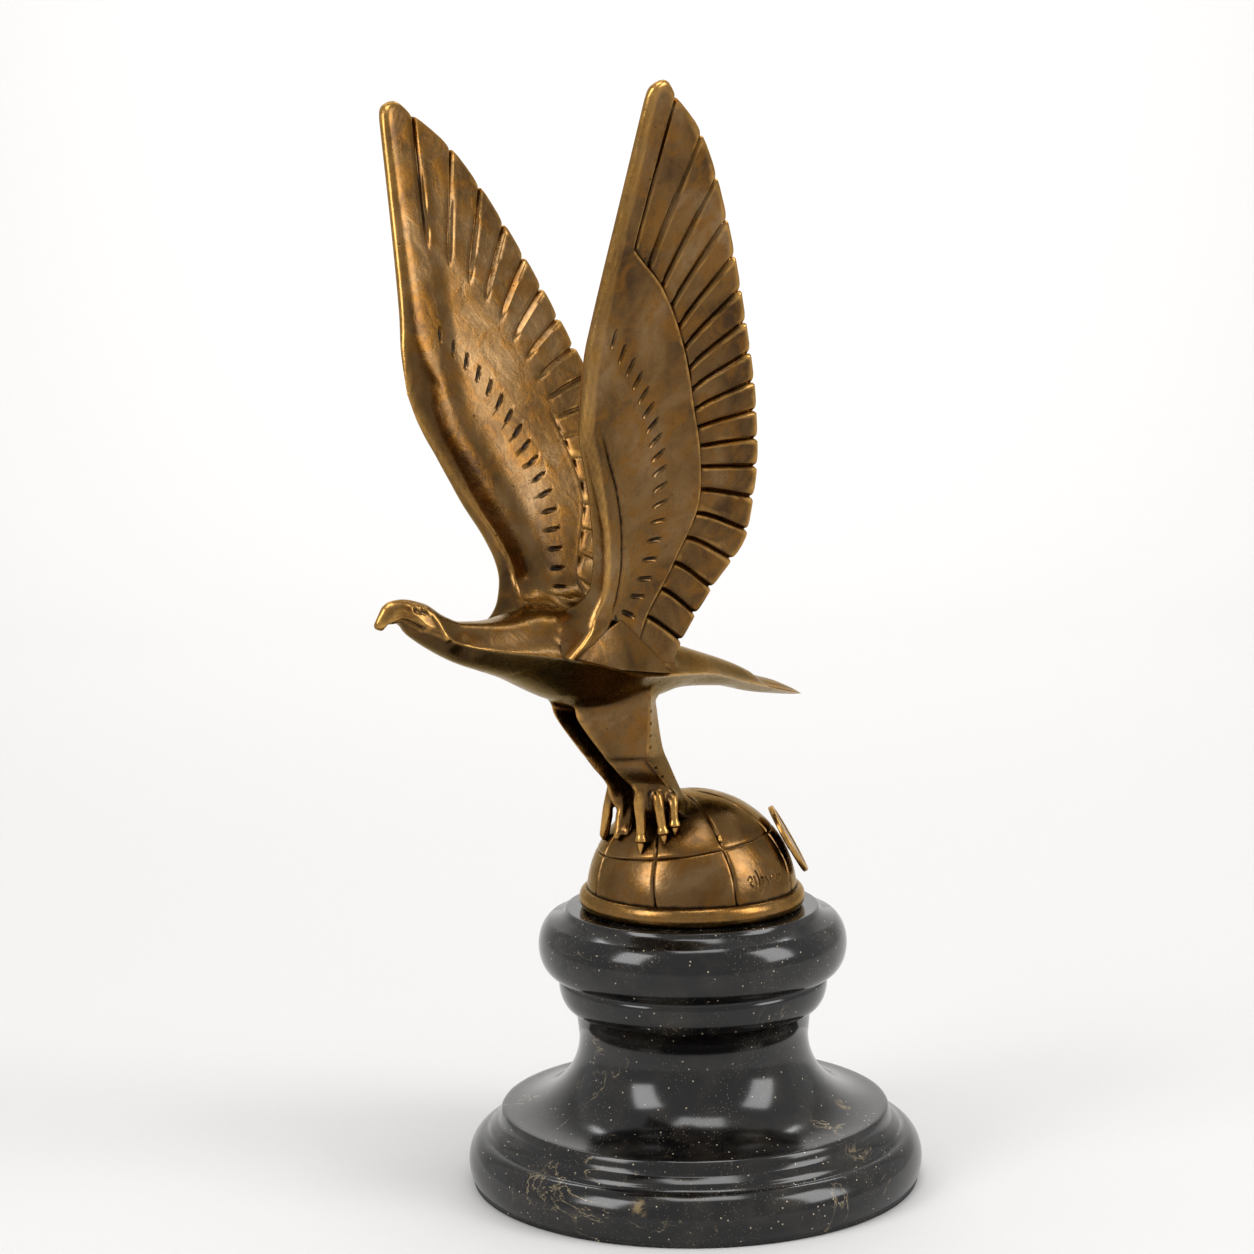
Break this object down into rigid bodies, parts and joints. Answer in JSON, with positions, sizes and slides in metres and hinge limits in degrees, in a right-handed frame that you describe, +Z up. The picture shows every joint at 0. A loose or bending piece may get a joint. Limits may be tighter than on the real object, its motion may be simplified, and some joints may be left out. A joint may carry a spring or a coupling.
{
  "type": "eagle sculpture",
  "caption": "Stylised bronze eagle with raised wings, perched on a half globe and set on a turned black marble plinth, with a round medallion at the back.",
  "frame": {"origin": "centre of the plinth's underside", "axes": "+Z up through the plinth's axis; the eagle faces -Y; its left wing is on the +X side"},
  "size_m": [0.1466, 0.1929, 0.3435],
  "materials": {
    "polished_black_marble": "polished black marble with pale flecks and thin veins, opaque",
    "patinated_bronze": "cast bronze with a satin brown patina, rubbed golden on the edges",
    "worn_bronze": "cast bronze, brown patina with a worn rim"
  },
  "bodies": {
    "root": {"marble_plinth": "polished_black_marble", "bronze_eagle": "patinated_bronze", "foundry_medallion": "worn_bronze"}
  },
  "joints": []
}
